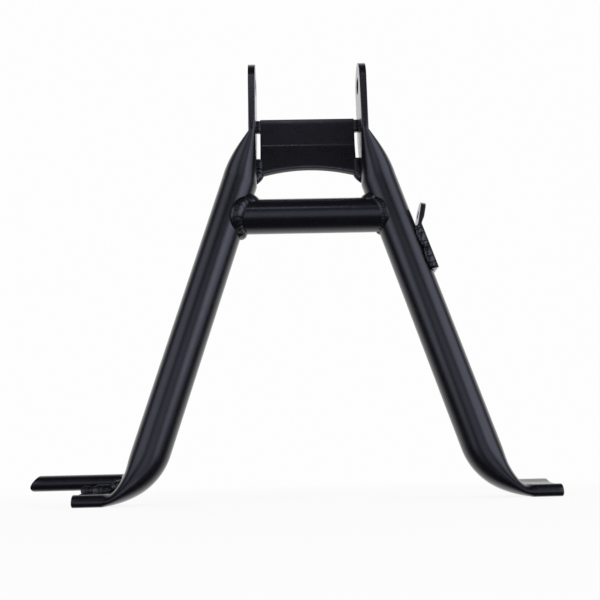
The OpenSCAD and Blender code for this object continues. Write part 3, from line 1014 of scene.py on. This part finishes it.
def corner_web(scene, up, reach, half):
    """A run along the corner above or below the cross tube, where it meets the right leg"""
    count = 20
    tubes = scene.stand_tubes
    form = Leg(tubes)
    splay = tubes.leg_splay
    cross_r = tubes.cross_d / 2
    proud, least, roll = 0.12, 0.05, 0.9
    points, widths, outs = [], [], []
    for i in range(count):
        t = mix(-1, 1, i / (count - 1))
        y = half * cross_r * t
        z = -tubes.cross_z + up * math.sqrt(cross_r**2 - y * y)
        side = math.sqrt(form.r**2 - y * y) / math.cos(splay)
        x = form.axis_x(z) - side
        lean = splay if up > 0 else 0
        out = Vector((-math.cos(lean), 0, up * (1 + math.sin(lean)))).normalized()
        points.append(Vector((x, y, z)) + proud * reach * out)
        widths.append(reach * max(least, 1 - t**6) ** 0.5)
        outs.append(out + Vector((0, roll * t, 0)))
    return points, widths, outs


def bridge_run(scene, from_z, to_z, half, tail):
    """A run in the gap between the bridge plate and the right ear, with a tail down the leg"""
    tubes, plates = scene.stand_tubes, scene.stand_plates
    count, least = 40, 0.12
    end_share, blunt = 0.12, 0.03
    drift = 1.6 * half
    middle = tubes.ear_gap / 2 - plates.bridge_gap / 2
    points, widths, outs = [], [], []
    for i in range(count):
        t = i / (count - 1)
        z = mix(from_z, to_z + tail, t)
        beyond = max(0, z - to_z) / tail if tail else 0
        x = middle + drift * beyond**1.2
        depth = min(z, to_z + 0.3 * tail)
        points.append(Vector((x, panel_y(plates, depth), -z)))
        start = min(1, (t + blunt) / end_share) ** 0.5
        end = min(1, (1 + blunt - t) / end_share) ** 0.5
        if tail:
            end = math.cos(math.pi / 2 * min(1, beyond)) ** 0.7
        widths.append(half * start * max(least, end))
        outs.append(Vector((-0.25, -1, 0)))
    return points, widths, outs


def build_joint_welds(scene):
    """The beads round the cross tube's ends and in the corners above and below it"""
    bead_r = scene.stand_welds.bead_r
    rear = saddle(scene, *REAR_BEAD, 0.4)
    left, right = (saddle(scene, *FRONT_BEAD, swell) for swell in (0.45, -0.12))
    top_left, top_right = (corner_web(scene, 1, wide * bead_r, 0.72) for wide in (2.0, 1.7))
    bottom_left = corner_web(scene, -1, 1.1 * bead_r, 0.45)
    # label, solid, run, seed, and the ripple's pitch, the bead's height and the ripple's height
    beads = (
        ("joint_left_front", "left_cross_weld_front", left, 1.3, (1.9, 0.66, 0.65)),
        ("joint_left_rear", "left_cross_weld_rear", rear, 2.7, (1.0, 0.45, 1.0)),
        ("joint_right_front", "right_cross_weld_front", right, 4.1, (0.95, 0.3, 0.5)),
        ("joint_right_rear", "right_cross_weld_rear", rear, 5.9, (1.0, 0.45, 1.0)),
        ("top_left", "left_top_weld", top_left, 6.2, (1.0, 0.42, 0.35)),
        ("top_right", "right_top_weld", top_right, 7.4, (1.0, 0.42, 0.35)),
        ("bottom_left", "left_bottom_weld", bottom_left, 8.8, (1.0, 0.75, 1.0)),
    )
    for label, node, run, seed, (pitch, height, ripple) in beads:
        weld_bead(
            scene, "weld_" + label, node, run, seed,
            mirrored="left" in label, pitch=pitch, height=height, ripple=ripple,
        )


def build_bridge_welds(scene):
    """The four runs between the bridge plate and the ears"""
    tubes, plates, run_r = scene.stand_tubes, scene.stand_plates, scene.stand_welds.run_r
    top, fold = plates.bridge_top_z, plates.bridge_fold_z
    arch_end = arch_z(plates, tubes.ear_gap / 2 - plates.bridge_gap)
    spans = {
        "upper": (top + 0.5 * MM, top + 10 * MM, run_r, 0),
        "lower": (fold + 11.5 * MM, arch_end - MM, 1.3 * run_r, 9 * MM),
    }
    seed = 10.0
    for label, (from_z, to_z, half, tail) in spans.items():
        run = bridge_run(scene, from_z, to_z, half, tail)
        for side in ("left", "right"):
            seed += 1.7
            weld_bead(
                scene, f"weld_bridge_{side}_{label}", f"bridge_weld_{side}_{label}", run, seed,
                mirrored=side == "left", height=0.75,
            )


def build_lever_welds(scene):
    """The three runs on top of the left foot, in front of the lever"""
    run_r, lever = scene.stand_welds.run_r, Lever(scene)
    count, below_bar = 36, 4.9 * MM
    # label, start and end along the lever, width, rise towards the leg and ripple pitch
    runs = (
        ("tip", lever.on_foot(1.05), lever.on_foot(0.68), 1.25, 0.0, 1.6),
        ("foot", lever.on_foot(0.74), lever.on_foot(0.05), 1.55, 0.0, 3.0),
        ("leg", lever.on_foot(0.16), lever.inner_x - 4.5 * run_r, 1.5, 2.2 * MM, 1.5),
    )
    y = lever.y - lever.r - 0.3 * MM
    seed = 16.8
    for label, from_x, to_x, wide, rise, pitch in runs:
        seed += 1.9
        z = lever.z - below_bar + rise
        start, stop = Vector((-from_x, y, z)), Vector((-to_x, y, z + rise / 2))
        run = straight(start, stop, wide * run_r, Vector((0, -1, 0.7)), count)
        weld_bead(
            scene, "weld_lever_" + label, f"lever_{label}_weld", run, seed,
            height=0.8, pitch=pitch, ripple=0.9,
        )


def build_hook_welds(scene):
    """The runs along the edges of the hook strip: two in front and one at the rear"""
    plates, run_r = scene.stand_plates, scene.stand_welds.run_r
    count, sunk = 30, 0.35 * run_r
    place = on_leg_side(scene)
    away = (place.to_3x3() @ Vector((1, 0, 0))).normalized()
    seed = 22.5
    for label, start, stop, side in (
        ("upper", 0.02, 0.52, -1), ("lower", 0.5, 1.0, -1), ("rear", 0.06, 0.94, 1)
    ):
        seed += 2.3
        y = side * (plates.hook_w / 2 - sunk)
        ends = [place @ Vector((-sunk, y, t * plates.hook_len)) for t in (start, stop)]
        run = straight(*ends, 1.15 * run_r, 0.4 * away + Vector((0, side, 0)), count)
        weld_bead(
            scene, "weld_hook_" + label, "hook_weld_" + label, run, seed,
            height=0.7, pitch=2.1, ripple=2.0, wander=2.5,
        )


def camera_turn(stage):
    """The camera's right, up and back directions as a matrix"""
    yaw, pitch, roll = stage.yaw, stage.pitch, stage.roll
    ahead = Vector(
        (math.sin(yaw) * math.cos(pitch), math.cos(yaw) * math.cos(pitch), math.sin(pitch))
    )
    right = ahead.cross(Vector((0, 0, 1))).normalized()
    up = right.cross(ahead)
    turned_right = right * math.cos(roll) + up * math.sin(roll)
    turned_up = up * math.cos(roll) - right * math.sin(roll)
    return Matrix((turned_right, turned_up, -ahead)).transposed()


def build_camera(scene):
    stage = scene.stand_stage
    eye = bpy.data.cameras.new("Camera")
    eye.sensor_width = 36
    eye.sensor_fit = "HORIZONTAL"
    eye.lens = stage.lens
    eye.clip_start = 0.01
    camera = bpy.data.objects.new("Camera", eye)
    place = Matrix.Translation((stage.camera_x, stage.camera_y, stage.camera_z))
    camera.matrix_world = place @ camera_turn(stage).to_4x4()
    scene.collection.objects.link(camera)
    scene.camera = camera


def floor_material(stage):
    """A pale floor that shows white to the camera but keeps a soft shadow near the feet"""
    near, far_off, make_up = 0.2, 0.55, 0.27
    material = bpy.data.materials.new("Pale floor")
    material.use_nodes = True
    s = Nodes(material.node_tree)
    rays = s.add("ShaderNodeLightPath").outputs
    lit = s.add("ShaderNodeBsdfDiffuse", {"Color": opaque(stage.floor)})
    place = s.add("ShaderNodeTexCoord").outputs["Object"]
    flat = s.add("ShaderNodeVectorMath", {0: place, 1: (1, 1, 0)}, operation="MULTIPLY")
    far = s.add("ShaderNodeVectorMath", {0: flat.outputs[0]}, operation="LENGTH")
    patch = s.fade(far.outputs["Value"], near, far_off, 1 - stage.shadow, 1.0)
    # the glow is a little stronger where it is mixed with the floor's own darker light
    lift = make_up * stage.backdrop
    strength = s.add(
        "ShaderNodeMath", {0: patch, 1: -lift, 2: stage.backdrop + lift}, operation="MULTIPLY_ADD"
    )
    glow = s.add("ShaderNodeEmission", {"Color": WHITE, "Strength": strength.outputs[0]})
    seen = s.add("ShaderNodeMath", {0: rays["Is Camera Ray"], 1: patch}, operation="MULTIPLY")
    both = s.blend(seen.outputs[0], lit, glow)
    shown = s.blend(rays["Is Glossy Ray"], both, s.add("ShaderNodeBsdfTransparent"))
    s.add("ShaderNodeOutputMaterial", {"Surface": shown.outputs[0]})
    return material


def build_floor(scene):
    bm = bmesh.new()
    bmesh.ops.create_grid(bm, x_segments=8, y_segments=8, size=6.0)
    for v in bm.verts:
        v.co.z = CAD_BOX[0][2]
    floor = new_piece("floor", bm)
    floor.data.materials.append(floor_material(scene.stand_stage))


def build_world(scene):
    """White to the camera, even light on the stand, and a dark room with glows in its paint"""
    stage = scene.stand_stage
    world = bpy.data.worlds.new("Studio")
    world.use_nodes = True
    world.cycles.sampling_method = "NONE"
    scene.world = world
    s = Nodes(world.node_tree)
    rays = s.add("ShaderNodeLightPath").outputs
    way = s.add("ShaderNodeTexCoord").outputs["Generated"]

    def towards(direction):
        """How nearly a ray goes in a direction, 1 at most"""
        node = s.add("ShaderNodeVectorMath", {0: way, 1: direction}, operation="DOT_PRODUCT")
        return node.outputs["Value"]

    def background(colour, strength):
        return s.add("ShaderNodeBackground", {"Color": colour, "Strength": strength})

    behind = s.fade(towards((0, -1, 0)), -0.6, 0.0, 1.0, stage.front)
    room = behind
    for spot, level, inner, outer in GLOWS:
        start, full = math.cos(math.radians(outer)), math.cos(math.radians(inner))
        glow = s.fade(towards(Vector(spot).normalized()), start, full, 0.0, level)
        room = s.add("ShaderNodeMath", {0: room, 1: glow}, operation="ADD").outputs[0]
    cool = s.add("ShaderNodeMix", {0: behind, 6: opaque(stage.lamp), 7: WHITE}, data_type="RGBA")
    mirrored = background(cool.outputs[2], room)
    lit = s.blend(rays["Is Glossy Ray"], background(WHITE, stage.fill), mirrored)
    clear = {0: rays["Is Camera Ray"], 1: rays["Is Transmission Ray"]}
    seen = s.add("ShaderNodeMath", clear, operation="MAXIMUM").outputs[0]
    both = s.blend(seen, lit, background(WHITE, stage.backdrop))
    s.add("ShaderNodeOutputWorld", {"Surface": both.outputs[0]})


def build_lamps(scene):
    """Softboxes that light the stand and stay out of the paint's reflections"""
    for name, spot, wide, tall, power in SOFTBOXES:
        lamp = bpy.data.lights.new(name, "AREA")
        lamp.shape = "RECTANGLE"
        lamp.size, lamp.size_y = wide, tall
        lamp.energy = power
        lamp.color = scene.stand_stage.lamp
        box = bpy.data.objects.new(name, lamp)
        box.location = Vector(spot)
        box.visible_glossy = False
        direction = (box.location - STAND_MIDDLE).normalized()
        box.rotation_euler = direction.to_track_quat("Z", "Y").to_euler()
        scene.collection.objects.link(box)


class STAND_OT_legs(bpy.types.Operator):
    """Build the two pressed tube legs"""

    bl_idname = "stand.legs"
    bl_label = "Legs"
    bl_options = {"REGISTER", "UNDO"}

    def execute(self, context):
        build_legs(context.scene)
        return {"FINISHED"}


class STAND_OT_cross_tube(bpy.types.Operator):
    """Build the coped cross tube"""

    bl_idname = "stand.cross_tube"
    bl_label = "Cross tube"
    bl_options = {"REGISTER", "UNDO"}

    def execute(self, context):
        build_cross_tube(context.scene)
        return {"FINISHED"}


class STAND_OT_bridge_plate(bpy.types.Operator):
    """Build the folded bridge plate"""

    bl_idname = "stand.bridge_plate"
    bl_label = "Bridge plate"
    bl_options = {"REGISTER", "UNDO"}

    def execute(self, context):
        build_bridge(context.scene)
        return {"FINISHED"}


class STAND_OT_foot_lever(bpy.types.Operator):
    """Build the foot lever bar"""

    bl_idname = "stand.foot_lever"
    bl_label = "Foot lever"
    bl_options = {"REGISTER", "UNDO"}

    def execute(self, context):
        build_lever(context.scene)
        return {"FINISHED"}


class STAND_OT_spring_hook(bpy.types.Operator):
    """Build the spring hook strip"""

    bl_idname = "stand.spring_hook"
    bl_label = "Spring hook"
    bl_options = {"REGISTER", "UNDO"}

    def execute(self, context):
        build_hook(context.scene)
        return {"FINISHED"}


class STAND_OT_welds(bpy.types.Operator):
    """Build all weld beads"""

    bl_idname = "stand.welds"
    bl_label = "Welds"
    bl_options = {"REGISTER", "UNDO"}

    def execute(self, context):
        build_joint_welds(context.scene)
        build_bridge_welds(context.scene)
        build_lever_welds(context.scene)
        build_hook_welds(context.scene)
        return {"FINISHED"}


class STAND_OT_stage(bpy.types.Operator):
    """Build the floor, the lights and the camera"""

    bl_idname = "stand.stage"
    bl_label = "Stage"
    bl_options = {"REGISTER", "UNDO"}

    def execute(self, context):
        context.scene.view_settings.view_transform = "Standard"
        build_camera(context.scene)
        build_floor(context.scene)
        build_world(context.scene)
        build_lamps(context.scene)
        return {"FINISHED"}


OPERATORS = (
    STAND_OT_legs,
    STAND_OT_cross_tube,
    STAND_OT_bridge_plate,
    STAND_OT_foot_lever,
    STAND_OT_spring_hook,
    STAND_OT_welds,
    STAND_OT_stage,
)
SETTINGS = {
    "stand_tubes": StandTubes,
    "stand_plates": StandPlates,
    "stand_welds": StandWelds,
    "stand_finish": StandFinish,
    "stand_stage": StandStage,
}


class STAND_PT_sidebar(bpy.types.Panel):
    """Sizes, colours and build buttons of the centre stand"""

    bl_label = "Centre stand"
    bl_space_type = "VIEW_3D"
    bl_region_type = "UI"
    bl_category = "Stand"

    def draw(self, context):
        layout = self.layout
        for made in OPERATORS:
            layout.operator(made.bl_idname)
        for name, group in SETTINGS.items():
            box = layout.box()
            box.label(text=group.__doc__)
            for key in group.__annotations__:
                box.prop(getattr(context.scene, name), key)


def register():
    for group in SETTINGS.values():
        bpy.utils.register_class(group)
    for name, group in SETTINGS.items():
        setattr(bpy.types.Scene, name, bpy.props.PointerProperty(type=group))
    for made in (*OPERATORS, STAND_PT_sidebar):
        bpy.utils.register_class(made)


def unregister():
    for made in (STAND_PT_sidebar, *reversed(OPERATORS)):
        bpy.utils.unregister_class(made)
    for name in SETTINGS:
        delattr(bpy.types.Scene, name)
    for group in SETTINGS.values():
        bpy.utils.unregister_class(group)


def main():
    register()
    bpy.ops.stand.legs()
    bpy.ops.stand.cross_tube()
    bpy.ops.stand.bridge_plate()
    bpy.ops.stand.foot_lever()
    bpy.ops.stand.spring_hook()
    bpy.ops.stand.welds()
    bpy.ops.stand.stage()


if __name__ == "__main__":
    main()
